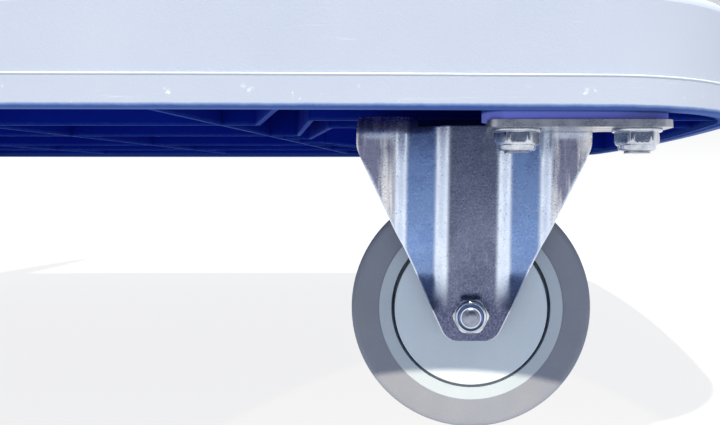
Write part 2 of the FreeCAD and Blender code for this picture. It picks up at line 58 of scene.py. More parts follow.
# Lights. WALL_COLOUR is the sky's dark side.
SUN_ELEVATION = math.radians(73)
SUN_TURN = math.radians(-6)
SUN_ANGLE = math.radians(1.6)
SUN_ENERGY = 8.0
SUN_COLOUR = (1.0, 0.98, 0.94)
SPOT_POWER = 128.0
SPOT_COLOUR = (1.0, 0.83, 0.58)
FLOOR_GLOW = 0.85
FLOOR_REACH = 6.0
HORIZON_LIGHT = 1.0
ZENITH_LIGHT = 0.35
ZENITH_TINT = (0.80, 0.95, 1.25)
WALL_COLOUR = (0.12, 0.15, 0.24)
# Parts of a unit direction: Z where the sky starts and stops dimming, and Y where its dark side fades in.
SKY_DIMS = (0.03, 0.5)
WALL_FADE = (-0.70, -0.93)

# The camera looks along +Y, level, with no tilt.
CAMERA_LENS = 31.45
CAMERA_SHIFT_X = -0.154
CAMERA_SHIFT_Y = -0.043
CAMERA_Y = -0.4355
CAMERA_Z = 0.1021

# Heights in metres between which a colour or roughness fades in. The first is where it starts.
TIP_SHADE = (0.078, 0.054)
PLATE_SHADE = (0.110, 0.122)
# Painted light on the lower edges of the deck's ribs.
RIB_EDGE_PAINTED_LIGHT = (0.1325, 0.1300)
# Painted light on the deck's bosses.
BOSS_PAINTED_LIGHT = (0.1278, 0.1271)
NICKS = (0.1365, 0.1305)
# The next two are painted shade along the band's lower lip.
LIP_SHADE_FADE = (0.12985, 0.12960)
LIP_PAINTED_SHADE = (0.1295, 0.1285)

# The raised line round the band. Its middle lies in from the corner by RIDGE_SUNK and below it by RIDGE_DROP.
RIDGE_HEIGHT = 0.1397
RIDGE_RADIUS = 0.00052
RIDGE_SUNK = 0.00036
RIDGE_DROP = 0.00030

# Widths of rounded edges.
SMALL_EDGE = 0.0004
PRESSED_EDGE = 0.0006
MOULDED_EDGE = 0.0007
NUT_EDGE = 0.00022

# Noise values between which blotches, scratches and other broad changes come in.
BLOTCH_NOISE = (0.38, 0.68)
SCRATCH_NOISE = (0.66, 0.74)
BROAD_NOISE = (0.3, 0.7)

BUMPER_PALE = (0.455, 0.505, 0.595)
HANDLE_LEG_Y = 0.150
HANDLE_LEG_R = 0.0125
GRIP_BORE_R = 0.0126
PEDAL_TREAD_Z = 0.107


# ---- material building ----

class Maker:
    """Adds nodes to one material and links them."""

    def __init__(self, name):
        self.material = bpy.data.materials.new(name)
        self.material.use_nodes = True
        self.tree = self.material.node_tree
        self.shader = self.tree.nodes["Principled BSDF"]
        self.place = self.node("ShaderNodeTexCoord").outputs["Object"]

    def node(self, kind):
        return self.tree.nodes.new(kind)

    def link(self, out, into):
        self.tree.links.new(out, into)

    def stretched(self, scale):
        mapping = self.node("ShaderNodeMapping")
        mapping.inputs["Scale"].default_value = scale
        self.link(self.place, mapping.inputs["Vector"])
        return mapping.outputs["Vector"]

    def noise(self, scale, detail=4.0, roughness=0.55, vector=None):
        noise = self.node("ShaderNodeTexNoise")
        noise.inputs["Scale"].default_value = scale
        noise.inputs["Detail"].default_value = detail
        noise.inputs["Roughness"].default_value = roughness
        self.link(vector or self.place, noise.inputs["Vector"])
        return noise.outputs["Fac"]

    def remap(self, value, low, high, to_low=0.0, to_high=1.0):
        remap = self.node("ShaderNodeMapRange")
        remap.inputs["From Min"].default_value = low
        remap.inputs["From Max"].default_value = high
        remap.inputs["To Min"].default_value = to_low
        remap.inputs["To Max"].default_value = to_high
        self.link(value, remap.inputs["Value"])
        return remap.outputs["Result"]

    def mix(self, factor, first, second):
        """Colour first where factor is 0, second where it is 1. Each is a colour or an output."""
        mix = self.node("ShaderNodeMix")
        mix.data_type = "RGBA"
        self.link(factor, mix.inputs["Factor"])
        for key, value in (("A", first), ("B", second)):
            into = [s for s in mix.inputs if s.name == key and s.type == "RGBA"][0]
            if isinstance(value, tuple):
                into.default_value = (*value, 1.0)
            else:
                self.link(value, into)
        return [s for s in mix.outputs if s.type == "RGBA"][0]

    def math(self, operation, first, second):
        node = self.node("ShaderNodeMath")
        node.operation = operation
        for i, value in enumerate((first, second)):
            if isinstance(value, (int, float)):
                node.inputs[i].default_value = value
            else:
                self.link(value, node.inputs[i])
        return node.outputs[0]

    def height(self):
        """The height in metres, before the piece moves."""
        split = self.node("ShaderNodeSeparateXYZ")
        self.link(self.place, split.inputs["Vector"])
        return split.outputs["Z"]

    def bump(self, height, distance):
        bump = self.node("ShaderNodeBump")
        bump.inputs["Distance"].default_value = distance
        bump.inputs["Strength"].default_value = 1.0
        self.link(height, bump.inputs["Height"])
        self.link(bump.outputs["Normal"], self.shader.inputs["Normal"])


def surface(name, base, worn, blotch, grain, rough, bump, metallic=0.0, scratches=0.0, dust=0.0):
    """A worn surface.

    base turns to worn in blotches, grain gives the bump, and rough is the lowest and highest roughness.
    scratches changes the colour along fine lines, and dust greys it where a broad noise is high.
    """
    make = Maker(name)
    shader = make.shader
    cloud = make.noise(blotch, 5.0, 0.6)
    colour = make.mix(make.remap(cloud, *BLOTCH_NOISE), base, worn)
    fine = make.noise(grain, 3.0, 0.6)
    speck = make.remap(fine, 0.3, 0.75)
    colour = make.mix(make.math("MULTIPLY", speck, 0.22), colour, tuple(0.72 * c for c in base))
    height = fine
    if scratches:
        lines = make.noise(90.0, 6.0, 0.7, make.stretched((1.0, 1.0, 9.0)))
        marks = make.remap(lines, *SCRATCH_NOISE, 0.0, scratches)
        colour = make.mix(marks, colour, tuple(min(1.0, c * 0.55 + 0.3) for c in base))
        height = make.math("SUBTRACT", fine, make.math("MULTIPLY", marks, 0.8))
    if dust:
        settled = make.remap(make.noise(14.0, 6.0, 0.65), 0.45, 0.75, 0.0, dust)
        colour = make.mix(settled, colour, (0.42, 0.40, 0.36))
    make.link(colour, shader.inputs["Base Color"])
    make.link(make.remap(make.noise(blotch * 3, 4.0), *BROAD_NOISE, *rough), shader.inputs["Roughness"])
    make.bump(height, bump)
    shader.inputs["Metallic"].default_value = metallic
    return make.material


def fluted_zinc():
    """Zinc plate with painted reflections: grey on the flat, blue in the channels, and bright painted
    highlights on the bends.

    The channel, bend and wing attributes of the mesh say where they are. Each runs from 0 to 1.
    """
    make = Maker("zinc_fluted")
    shader = make.shader
    masks = {}
    for name in ("channel", "bend", "wing"):
        attribute = make.node("ShaderNodeAttribute")
        attribute.attribute_name = name
        masks[name] = attribute.outputs["Fac"]
    cloud = make.noise(55.0, 5.0, 0.65)
    # Painted reflection streaks, dark and white, for the wings.
    reflection_streaks = make.remap(make.noise(60.0, 4.0, 0.6, make.stretched((4.0, 1.0, 0.35))), 0.42, 0.58)
    # Painted reflection: the flat panel is dark and mottled.
    panel_reflection = make.mix(make.remap(cloud, 0.35, 0.7), (0.075, 0.095, 0.175), (0.135, 0.165, 0.27))
    wing = make.mix(reflection_streaks, (0.26, 0.27, 0.40), (1.0, 1.0, 1.0))
    colour = make.mix(masks["wing"], panel_reflection, wing)
    # Painted reflection: blue in the channels.
    blue = make.mix(make.remap(cloud, *BROAD_NOISE), (0.14, 0.25, 0.56), (0.18, 0.31, 0.60))
    colour = make.mix(masks["channel"], colour, blue)
    height = make.height()
    # Painted shade: darker towards the tip, and in the channels under the plate.
    near_tip = make.remap(make.math("ADD", height, make.math("MULTIPLY", cloud, 0.008)), *TIP_SHADE)
    colour = make.mix(make.math("MULTIPLY", near_tip, 0.72), colour, (0.035, 0.043, 0.12))
    under_plate = make.remap(height, *PLATE_SHADE)
    in_shade = make.math("MULTIPLY", make.math("MULTIPLY", under_plate, masks["channel"]), 0.6)
    colour = make.mix(in_shade, colour, (0.03, 0.05, 0.16))
    # Painted highlights on the slopes, along the wing's top bend and on the leg's cut edge.
    colour = make.mix(masks["bend"], colour, (0.74, 0.83, 0.98))
    spangle = make.remap(make.noise(1500.0, 3.0, 0.8), 0.42, 0.75)
    colour = make.mix(make.math("MULTIPLY", spangle, 0.34), colour, (0.52, 0.56, 0.68))
    pits = make.remap(make.noise(900.0, 3.0, 0.75), 0.58, 0.72)
    colour = make.mix(make.math("MULTIPLY", pits, 0.60), colour, (0.09, 0.11, 0.17))
    make.link(colour, shader.inputs["Base Color"])
    make.link(make.remap(make.noise(160.0, 4.0), *BROAD_NOISE, 0.20, 0.36), shader.inputs["Roughness"])
    make.bump(make.noise(1100.0, 3.0, 0.7), 0.00004)
    shader.inputs["Metallic"].default_value = 0.92
    return make.material


def deck_plastic():
    """Deep blue moulding, paler along the lower edges of its ribs and bosses: painted light, strongest on the
    bosses.
    """
    make = Maker("deck_blue")
    shader = make.shader
    cloud = make.noise(9.0, 5.0, 0.6)
    colour = make.mix(make.remap(cloud, *BLOTCH_NOISE), (0.0012, 0.0085, 0.20), (0.0025, 0.0135, 0.25))
    height = make.height()
    ragged = make.math("ADD", height, make.math("MULTIPLY", make.noise(300.0, 4.0), 0.0016))
    # Painted light: paler on the lower edges of the ribs.
    colour = make.mix(make.remap(ragged, *RIB_EDGE_PAINTED_LIGHT), colour, (0.014, 0.050, 0.270))
    # Painted light: paler still on the bosses.
    colour = make.mix(make.remap(height, *BOSS_PAINTED_LIGHT), colour, (0.17, 0.21, 0.68))
    fine = make.noise(1600.0, 3.0, 0.6)
    lines = make.noise(90.0, 6.0, 0.7, make.stretched((1.0, 1.0, 9.0)))
    marks = make.remap(lines, *SCRATCH_NOISE, 0.0, 0.12)
    colour = make.mix(marks, colour, (0.10, 0.14, 0.42))
    make.link(colour, shader.inputs["Base Color"])
    make.link(make.remap(make.noise(30.0, 4.0), *BROAD_NOISE, 0.62, 0.78), shader.inputs["Roughness"])
    make.bump(make.math("SUBTRACT", fine, marks), 0.00006)
    shader.inputs["Specular IOR Level"].default_value = 0.10
    shader.inputs["IOR"].default_value = 1.15
    return make.material


def bumper_plastic():
    """Pale band with scuffs, white nicks near its lower edge, and painted shade on its lower lip, deep blue
    at the bottom.
    """
    make = Maker("bumper")
    shader = make.shader
    cloud = make.noise(7.0, 5.0, 0.6)
    colour = make.mix(make.remap(cloud, *BLOTCH_NOISE), BUMPER_PALE, (0.425, 0.475, 0.570))
    lines = make.noise(70.0, 6.0, 0.7, make.stretched((0.35, 0.35, 6.0)))
    scuffs = make.remap(lines, 0.62, 0.74, 0.0, 0.45)
    colour = make.mix(scuffs, colour, (0.56, 0.61, 0.68))
    height = make.height()
    ragged = make.math("ADD", height, make.math("MULTIPLY", make.noise(260.0, 4.0), 0.0006))
    near_edge = make.remap(height, *NICKS)
    spots = make.remap(make.noise(240.0, 4.0, 0.6), 0.66, 0.72)
    colour = make.mix(make.math("MULTIPLY", near_edge, spots), colour, (0.85, 0.87, 0.88))
    # Painted shade on the lower lip: greyer blue, then deep blue at the bottom.
    colour = make.mix(make.remap(ragged, *LIP_SHADE_FADE), colour, (0.24, 0.34, 0.58))
    colour = make.mix(make.remap(ragged, *LIP_PAINTED_SHADE), colour, (0.030, 0.085, 0.33))
    make.link(colour, shader.inputs["Base Color"])
    band_rough = make.remap(make.noise(21.0, 4.0), *BROAD_NOISE, 0.34, 0.5)
    lip_rough = make.remap(ragged, *LIP_PAINTED_SHADE, 0.0, 0.9)
    make.link(make.math("MAXIMUM", band_rough, lip_rough), shader.inputs["Roughness"])
    fine = make.noise(1200.0, 3.0, 0.6)
    make.bump(make.math("SUBTRACT", fine, scuffs), 0.00005)
    return make.material


materials = {
    "deck_blue": deck_plastic(),
    "bumper": bumper_plastic(),
    # The raised line is paler than the band: a painted highlight.
    "ridge_highlight": surface("ridge_highlight", (0.62, 0.67, 0.73), (0.48, 0.54, 0.62), 5, 1200, (0.35, 0.5), 0.00003),
    "mat": surface(
        "mat", (0.017, 0.018, 0.021), (0.024, 0.025, 0.028), 8, 1500, (0.6, 0.8), 0.0001, dust=0.05
    ),
    "zinc": surface(
        "zinc", (0.40, 0.42, 0.47), (0.28, 0.30, 0.36), 60, 1000, (0.22, 0.38), 0.00005, metallic=0.92,
        scratches=0.3
    ),
    "fastener": surface(
        "fastener", (0.60, 0.64, 0.70), (0.36, 0.40, 0.48), 220, 1400, (0.09, 0.18), 0.00003, metallic=1.0,
        scratches=0.3
    ),
    "tyre": surface(
        "tyre", (0.180, 0.212, 0.290), (0.16, 0.19, 0.26), 28, 1300, (0.62, 0.8), 0.0001, dust=0.12
    ),
    "hub": surface("hub", (0.35, 0.43, 0.535), (0.32, 0.40, 0.50), 30, 1400, (0.4, 0.55), 0.00005, dust=0.06),
    "disc": surface(
        "disc", (0.48, 0.58, 0.70), (0.455, 0.55, 0.675), 34, 1500, (0.5, 0.65), 0.00004,
        scratches=0.2, dust=0.08
    ),
    "thread": surface(
        "thread", (0.30, 0.33, 0.42), (0.16, 0.19, 0.26), 300, 1500, (0.2, 0.34), 0.00003, metallic=1.0
    ),
    "bearing": surface(
        "bearing", (0.5, 0.5, 0.5), (0.4, 0.4, 0.4), 200, 1500, (0.2, 0.35), 0.00002, metallic=1.0
    ),
    "tube": surface(
        "tube", (0.68, 0.69, 0.71), (0.58, 0.59, 0.62), 20, 1800, (0.12, 0.26), 0.00001, metallic=1.0,
        scratches=0.25
    ),
    "grip": surface(
        "grip", (0.022, 0.022, 0.024), (0.04, 0.04, 0.042), 40, 2200, (0.7, 0.9), 0.00025, dust=0.08
    ),
    "pedal": surface(
        "pedal", (0.42, 0.022, 0.018), (0.34, 0.02, 0.016), 40, 1500, (0.36, 0.5), 0.00006,
        scratches=0.3, dust=0.12
    ),
    "knob": surface("knob", (0.02, 0.02, 0.022), (0.035, 0.035, 0.036), 60, 1600, (0.35, 0.5), 0.00006),
    "nylon": surface("nylon", (0.06, 0.13, 0.34), (0.05, 0.10, 0.28), 200, 1800, (0.3, 0.45), 0.00003),
    "zinc_fluted": fluted_zinc(),
}


# ---- pieces ----

def paint(obj, material):
    if not obj.material_slots:
        obj.data.materials.append(material)
    for slot in obj.material_slots:
        slot.link = "OBJECT"
        slot.material = material


def bevelled(obj, width, degrees):
    """Rounds the edges sharper than an angle with a modifier."""
    bevel = obj.modifiers.new("round", "BEVEL")
    bevel.width = width
    bevel.segments = 2
    bevel.limit_method = "ANGLE"
    bevel.angle_limit = math.radians(degrees)
    return bevel


def soften(obj, width):
    """Rounds the edges of a CAD node. Flat stretches are joined first, so that it is even."""
    flat = obj.modifiers.new("flat", "DECIMATE")
    flat.decimate_type = "DISSOLVE"
    flat.angle_limit = math.radians(0.5)
    bevelled(obj, width, 35).miter_outer = "MITER_ARC"


def piece(name, verts, faces, material, body, smooth=True):
    """A mesh piece in metres that rides on a body."""
    mesh = bpy.data.meshes.new(name)
    mesh.from_pydata([tuple(v) for v in verts], [], faces)
    mesh.update()
    obj = bpy.data.objects.new(name, mesh)
    bpy.context.scene.collection.objects.link(obj)
    mesh.materials.append(materials[material])
    edit = bmesh.new()
    edit.from_mesh(mesh)
    bmesh.ops.recalc_face_normals(edit, faces=edit.faces)
    edit.to_mesh(mesh)
    edit.free()
    for polygon in mesh.polygons:
        polygon.use_smooth = smooth
    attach(obj, body)
    return obj


def looped(count, section):
    """Faces that join count closed sections into a closed loop. Each has as many points as section says."""
    faces = []
    for i in range(count):
        here = i * section
        there = (i + 1) % count * section
        for k in range(section):
            after = (k + 1) % section
            faces.append((here + k, here + after, there + after, there + k))
    return faces


def smoothstep(value, low, high):
    """0 below low, 1 above high, and a smooth rise between them."""
    t = min(1.0, max(0.0, (value - low) / (high - low)))
    return t * t * (3 - 2 * t)


# The pressed leg of a rigid caster, in millimetres from the axle and the floor.
# A pair is where a smooth step starts and ends, apart from the web's, which are its faces.
LEG_FACE = 26.5
LEG_HALF_WIDTH = 46.8
LEG_TOP = 121.8
PANEL_TOP = 124.4
WING_TOP = 128.4
WING_BEND_Z = 120.5
LEG_TIP = 39.0
LEG_SHOULDER = 115.2
TIP_R = 7.0
TIP_HALF = 9.6
LEG_SLOPE = (LEG_HALF_WIDTH - TIP_HALF) / (LEG_SHOULDER - LEG_TIP)
SHEET = 2.5
FLUTE_DEPTH = 3.4
LEG_LEAN = 0.017
TOP_BEND_R = 7.5
REAR_WING_X = -23.0
PANEL_FRONT_X = 5.4
INNER_SLOPE = (9.5, 15.5)
OUTER_SLOPE = (26.5, 31.5)
TOP_BEND_XS = (14, 22)
TOP_BEND_SPARE = 0.4
DISH_DEPTH = 0.35
DISH_XS = (31, 46)
CHANNEL_FADE_ZS = (49, 66)
WEB_XS = (-40.0, 45.5)
WEB_YS = (-22.0, 22.0)
WEB_ZS = (LEG_TOP - 2.7, LEG_TOP - 0.02)

# The leg's zones of painted highlight and reflection: where they begin and end, and how strong they are.
BEND_FADE_ZS = (50, 68)
CREST_HALF = (0.6, 2.4)
CREST_INNER_XS = (30, 33)
CREST_OUTER_XS = (42, 46)
CREST_STRENGTH = 0.75
RIM_WIDTHS = (0.965, 0.99)
RIM_TOP_ZS = (104, 112)
RIM_STRENGTH = 0.9
WING_XS = (29, 33)

# The fasteners, in millimetres. A reach is the length of bolt below or outside the nut's seat, and a mouth
# is how far a nut stands past its hexagon.
AXLE_NUT_FLATS = 13.0
CASTER_NUT_FLATS = 15.0
BOLT_REACH = 9.0
AXLE_REACH = 9.0
AXLE_NUT_MOUTH = 1.6
CASTER_NUT_MOUTH = 2.0
THREAD_PITCH = 1.5


def leg_half_width(z):
    """The leg narrows in a straight line from its shoulder to its round tip."""
    straight = TIP_HALF + (z - LEG_TIP) * LEG_SLOPE
    arc_z = LEG_TIP + TIP_R
    arc_x = TIP_HALF + TIP_R * LEG_SLOPE - TIP_R * math.sqrt(1 + LEG_SLOPE ** 2)
    tangent_z = arc_z - TIP_R * math.sin(math.atan(LEG_SLOPE))
    if z < tangent_z:
        return arc_x + math.sqrt(max(0.0, TIP_R ** 2 - (arc_z - z) ** 2))
    softness = 0.6
    low = -straight / softness
    high = -LEG_HALF_WIDTH / softness
    top = max(low, high)
    return -softness * (top + math.log(math.exp(low - top) + math.exp(high - top)))


def channel_depth(x, z):
    """1 in the middle of a pressed channel, 0 on the flats, fading out above the axle."""
    across = smoothstep(abs(x), *INNER_SLOPE) - smoothstep(abs(x), *OUTER_SLOPE)
    return across * smoothstep(z, *CHANNEL_FADE_ZS)


def painted_highlight_amount(x, z):
    """Where the painted highlights go: 1 on the slopes beside a channel, and less along the bend at the
    wing's top and the leg's cut edge.
    """
    slopes = 0.0
    for low, high in (INNER_SLOPE, OUTER_SLOPE):
        middle = (low + high) / 2
        slopes = max(slopes, 1 - smoothstep(abs(abs(x) - middle), 0.30 * (high - low), 0.62 * (high - low)))
    top = 1 - smoothstep(abs(z - WING_BEND_Z), *CREST_HALF)
    along = smoothstep(abs(x), *CREST_INNER_XS) * (1 - smoothstep(abs(x), *CREST_OUTER_XS))
    edge = smoothstep(abs(x) / leg_half_width(z), *RIM_WIDTHS) * (1 - smoothstep(z, *RIM_TOP_ZS))
    return max(slopes * smoothstep(z, *BEND_FADE_ZS), CREST_STRENGTH * top * along, RIM_STRENGTH * edge)


def wing_amount(x):
    """1 outside the channels, where the painted reflection streaks go."""
    return smoothstep(abs(x), *WING_XS)


def leg_top(x):
    """The sheet's upper edge: the rear wing, then the middle, then level under the plate."""
    if x < REAR_WING_X:
        return WING_TOP
    if x < PANEL_FRONT_X:
        return PANEL_TOP
    return LEG_TOP


def leg_inset(x, z):
    """How far the sheet lies inside the leg's outermost face."""
    rise = min(TOP_BEND_R - TOP_BEND_SPARE, max(0.0, z - (WING_TOP - TOP_BEND_R)))
    bend = TOP_BEND_R - math.sqrt(TOP_BEND_R ** 2 - rise ** 2)
    dish = DISH_DEPTH * smoothstep(abs(x), *DISH_XS)
    return FLUTE_DEPTH * channel_depth(x, z) + bend * smoothstep(abs(x), *TOP_BEND_XS) + dish


def leg_rows():
    """Heights of the leg's mesh rows, closer together at the round tip and at the bend."""
    tip_rows, middle_rows, top_rows = 10, 70, 26
    tip_height = 4.0
    tip_end = LEG_TIP + tip_height
    tip = [LEG_TIP + tip_height * (i / tip_rows) ** 2 for i in range(tip_rows)]
    middle = [tip_end + (LEG_SHOULDER - tip_end) * i / middle_rows for i in range(middle_rows)]
    top = [LEG_SHOULDER + (WING_TOP - LEG_SHOULDER) * i / top_rows for i in range(top_rows + 1)]
    return tip + middle + top


def leg_columns():
    """Places across the leg, from -1 to 1, as a part of its half width."""
    count = 120
    return [2 * i / count - 1 for i in range(count + 1)]


def leg_sheet(outward, thick):
    """Corner places and mask values of one face of one leg, row by row."""
    places, masks = [], []
    for z in leg_rows():
        half = leg_half_width(z)
        for across in leg_columns():
            x = half * across
            y = -outward * (LEG_FACE - leg_inset(x, z) - thick)
            places.append((x + LEG_LEAN * (z - LEG_TIP), y, z))
            masks.append((channel_depth(x, z), painted_highlight_amount(x, z), wing_amount(x)))
    return places, masks


def leg_cells():
    """The mesh cells that the leg's upper outline keeps, as (row, column)."""
    rows = leg_rows()
    columns = leg_columns()
    cells = set()
    for r in range(len(rows) - 1):
        half = leg_half_width(rows[r])
        for c in range(len(columns) - 1):
            x = half * (columns[c] + columns[c + 1]) / 2
            if rows[r + 1] <= leg_top(x) + 0.05:
                cells.add((r, c))
    return cells


def leg_faces(cells, start, back, width):
    """Front, back and rim faces of one leg."""
    faces = []
    for r, c in sorted(cells):
        a = start + r * width + c
        corners = (a, a + 1, a + 1 + width, a + width)
        faces.append(corners)
        faces.append(tuple(v + back for v in reversed(corners)))
        sides = (((r - 1, c), 0, 1), ((r, c + 1), 1, 2), ((r + 1, c), 2, 3), ((r, c - 1), 3, 0))
        for beside, i, j in sides:
            if beside not in cells:
                faces.append((corners[j], corners[i], corners[i] + back, corners[j] + back))
    return faces


def rigid_fork(place, side):
    """Both pressed legs of a rigid caster, with the web between them, in place of the plain CAD fork."""
    low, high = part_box(f"front_{place}_tyre")
    axle = Vector(((low.x + high.x) / 2, (low.y + high.y) / 2, 0))
    width = len(leg_columns())
    cells = leg_cells()
    places, masks, faces = [], [], []
    for outward in (1, -1):
        start = len(places)
        for thick in (0.0, SHEET):
            sheet, mask = leg_sheet(outward, thick)
            places += sheet
            masks += mask
        faces += leg_faces(cells, start, len(sheet), width)
    base = len(places)
    for x in WEB_XS:
        for y in WEB_YS:
            for z in WEB_ZS:
                places.append((x, y, z))
                masks.append((0.0, 0.0, 0.0))
    for quad in ((0, 1, 3, 2), (4, 6, 7, 5), (0, 4, 5, 1), (2, 3, 7, 6), (0, 2, 6, 4), (1, 5, 7, 3)):
        faces.append(tuple(base + v for v in quad))
    verts = [axle + Vector((x, -side * y, z)) * MM for x, y, z in places]
    fork = piece(f"front_{place}_pressed_fork", verts, faces, "zinc_fluted", "deck")
    # The masks say where the painted reflections, shade and highlights go.
    for i, name in enumerate(("channel", "bend", "wing")):
        mask = fork.data.attributes.new(name, "FLOAT", "POINT")
        mask.data.foreach_set("value", [m[i] for m in masks])
    tidy = bmesh.new()
    tidy.from_mesh(fork.data)
    bmesh.ops.delete(tidy, geom=[v for v in tidy.verts if not v.link_faces], context="VERTS")
    tidy.to_mesh(fork.data)
    tidy.free()
    bevelled(fork, PRESSED_EDGE, 60)
    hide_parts(f"front_{place}_fork")


def nut_shell(flats, height, mouth, segments=96):
    """Rings of a lock nut about +Z from its seat, in millimetres: a bevelled hexagon and a rolled mouth.

    Each row is (height, widest radius). The hexagon's own radius is less on its flats.
    """
    rows = [
        (0.0, 0.545), (0.05, 0.575), (height - 0.085 * flats, 0.575), (height - 0.03 * flats, 0.535),
        (height, 0.495), (height + 0.02, 0.478),
        (mouth - 0.85, 0.470), (mouth - 0.35, 0.456), (mouth - 0.08, 0.436), (mouth, 0.412),
        (mouth - 0.10, 0.392), (mouth - 0.45, 0.382), (mouth - 1.4, 0.382),
    ]
    rings = []
    for up, widest in rows:
        ring = []
        for i in range(segments):
            turn = 2 * math.pi * i / segments
            from_flat = (turn + math.pi / 6) % (math.pi / 3) - math.pi / 6
            hexagon = flats / 2 / math.cos(from_flat)
            radius = min(widest * flats, hexagon)
            ring.append((radius * math.cos(turn), radius * math.sin(turn), up))
        rings.append(ring)
    return rings


def bridged(rings):
    """Verts and faces that join equal rings of points, with flat ends."""
    count = len(rings[0])
    verts = [Vector(point) for ring in rings for point in ring]
    faces = []
    for r in range(len(rings) - 1):
        for i in range(count):
            a = r * count + i
            b = r * count + (i + 1) % count
            faces.append((a, b, b + count, a + count))
    faces.append(tuple(reversed(range(count))))
    last = (len(rings) - 1) * count
    faces.append(tuple(last + i for i in range(count)))
    return verts, faces


def round_rings(profile, segments=64):
    """Rings about +Z for a profile of (radius, height)."""
    rings = []
    for radius, up in profile:
        turns = [2 * math.pi * i / segments for i in range(segments)]
        rings.append([(radius * math.cos(t), radius * math.sin(t), up) for t in turns])
    return rings


def placed(verts, seat, quarter_turns_about_x, spin=0.0):
    """Points made about +Z in millimetres, turned about X by quarter turns and moved to seat in metres."""
    turn = Matrix.Rotation(quarter_turns_about_x * math.pi / 2, 3, "X") @ Matrix.Rotation(spin, 3, "Z")
    return [seat + (turn @ v) * MM for v in verts]


def joined(parts):
    """One list of verts and one of faces from several (verts, faces)."""
    verts, faces = [], []
    for more_verts, more_faces in parts:
        start = len(verts)
        verts += more_verts
        faces += [tuple(start + i for i in face) for face in more_faces]
    return verts, faces


def islands(name):
    """The lowest and highest corner of each separate solid in a CAD node."""
    mesh = bmesh.new()
    mesh.from_mesh(nodes[name].data)
    bmesh.ops.remove_doubles(mesh, verts=mesh.verts, dist=1e-6)
    seen, boxes = set(), []
    for start in mesh.verts:
        if start in seen:
            continue
        seen.add(start)
        waiting, found = [start], []
        while waiting:
            vert = waiting.pop()
            found.append(vert.co.copy())
            for edge in vert.link_edges:
                other = edge.other_vert(vert)
                if other not in seen:
                    seen.add(other)
                    waiting.append(other)
        boxes.append(tuple(Vector([pick(co[i] for co in found) for i in range(3)]) for pick in (min, max)))
    mesh.free()
    return boxes


def axle_fasteners(end, place, side, body):
    """A lock nut with its nylon ring, and the rounded end of the axle bolt in it."""
    low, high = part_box(f"{end}_{place}_axle_nut")
    deep = (high.y - low.y) / MM
    seat = Vector(((low.x + high.x) / 2, high.y if side < 0 else low.y, (low.z + high.z) / 2))
    turns = 1 if side < 0 else -1
    verts, faces = bridged(nut_shell(AXLE_NUT_FLATS, deep - AXLE_NUT_MOUTH, deep))
    turned = placed(verts, seat, turns, math.pi / 6)
    nut = piece(f"{end}_{place}_lock_nut", turned, faces, "fastener", body)
    bevelled(nut, NUT_EDGE, 28)
    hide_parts(f"{end}_{place}_axle_nut")
    ring = [
        (4.95, deep - 1.3), (4.95, deep - 0.7), (4.85, deep - 0.5), (4.15, deep - 0.5), (4.02, deep - 0.7),
    ]
    verts, faces = bridged(round_rings(ring))
    piece(f"{end}_{place}_nylon_ring", placed(verts, seat, turns), faces, "nylon", body)
    dome = [
        (3.9, AXLE_REACH - 0.8), (3.86, AXLE_REACH - 0.3), (3.4, AXLE_REACH + 0.2),
        (2.7, AXLE_REACH + 0.55), (1.5, AXLE_REACH + 0.8), (0.5, AXLE_REACH + 0.88),
    ]
    verts, faces = bridged(round_rings(dome))
    piece(f"{end}_{place}_axle_point", placed(verts, seat, turns), faces, "thread", body)


def caster_nuts():
    """Flanged lock nuts under the caster plates, and the threaded ends of their bolts."""
    nuts, threads = [], []
    for low, high in islands("caster_nuts"):
        seat = Vector(((low.x + high.x) / 2, (low.y + high.y) / 2, high.z))
        deep = (high.z - low.z) / MM
        flange = [(9.2, 0.0), (9.4, 0.25), (9.4, 0.8), (9.0, 1.15), (7.6, 1.5)]
        body_verts, body_faces = bridged(nut_shell(CASTER_NUT_FLATS, deep - CASTER_NUT_MOUTH, deep))
        lifted = [Vector((v.x, v.y, max(v.z, 0.6))) for v in body_verts]
        flange_verts, flange_faces = bridged(round_rings(flange))
        nuts.append((placed(lifted, seat, 2, math.pi / 6), body_faces))
        nuts.append((placed(flange_verts, seat, 2), flange_faces))
        crests = [(4.68 if i % 2 else 5.0, deep - 1.5 + i * THREAD_PITCH / 4) for i in range(13)]
        crests.append((4.2, crests[-1][1] + 0.3))
        verts, faces = bridged(round_rings(crests, 40))
        shorter = [Vector((v.x, v.y, min(v.z, BOLT_REACH))) for v in verts]
        threads.append((placed(shorter, seat, 2), faces))
    verts, faces = joined(nuts)
    nut = piece("caster_lock_nuts", verts, faces, "fastener", "deck")
    bevelled(nut, NUT_EDGE, 28)
    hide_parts("caster_nuts")
    verts, faces = joined(threads)
    piece("caster_bolt_threads", verts, faces, "thread", "deck")


def foam_grip():
    """A foam sleeve with moulded rings, round the top of the handle."""
    low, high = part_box("handle_grip")
    centre = (low + high) / 2
    outer = (high.z - low.z) / 2
    half = (high.y - low.y) / 2
    end_length, end_drop = 0.003, 0.0022
    ring_pitch, ring_depth = 0.008, 0.0005
    steps, around = 220, 72
    profile = []
    for i in range(steps + 1):
        y = -half + 2 * half * i / steps
        end = min(1.0, (half - abs(y)) / end_length)
        ring = ring_depth * (1 + math.cos(2 * math.pi * y / ring_pitch)) / 2
        profile.append((outer - end_drop * (1 - math.sqrt(max(0.0, 1 - (1 - end) ** 2))) - ring, y))
    profile += [(GRIP_BORE_R, half), (GRIP_BORE_R, -half)]
    verts = []
    for i in range(around):
        turn = 2 * math.pi * i / around
        for radius, y in profile:
            verts.append(centre + Vector((radius * math.cos(turn), y, radius * math.sin(turn))))
    faces = looped(around, len(profile))
    grip = piece("foam_grip", verts, faces, "grip", "handle")
    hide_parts("handle_grip")


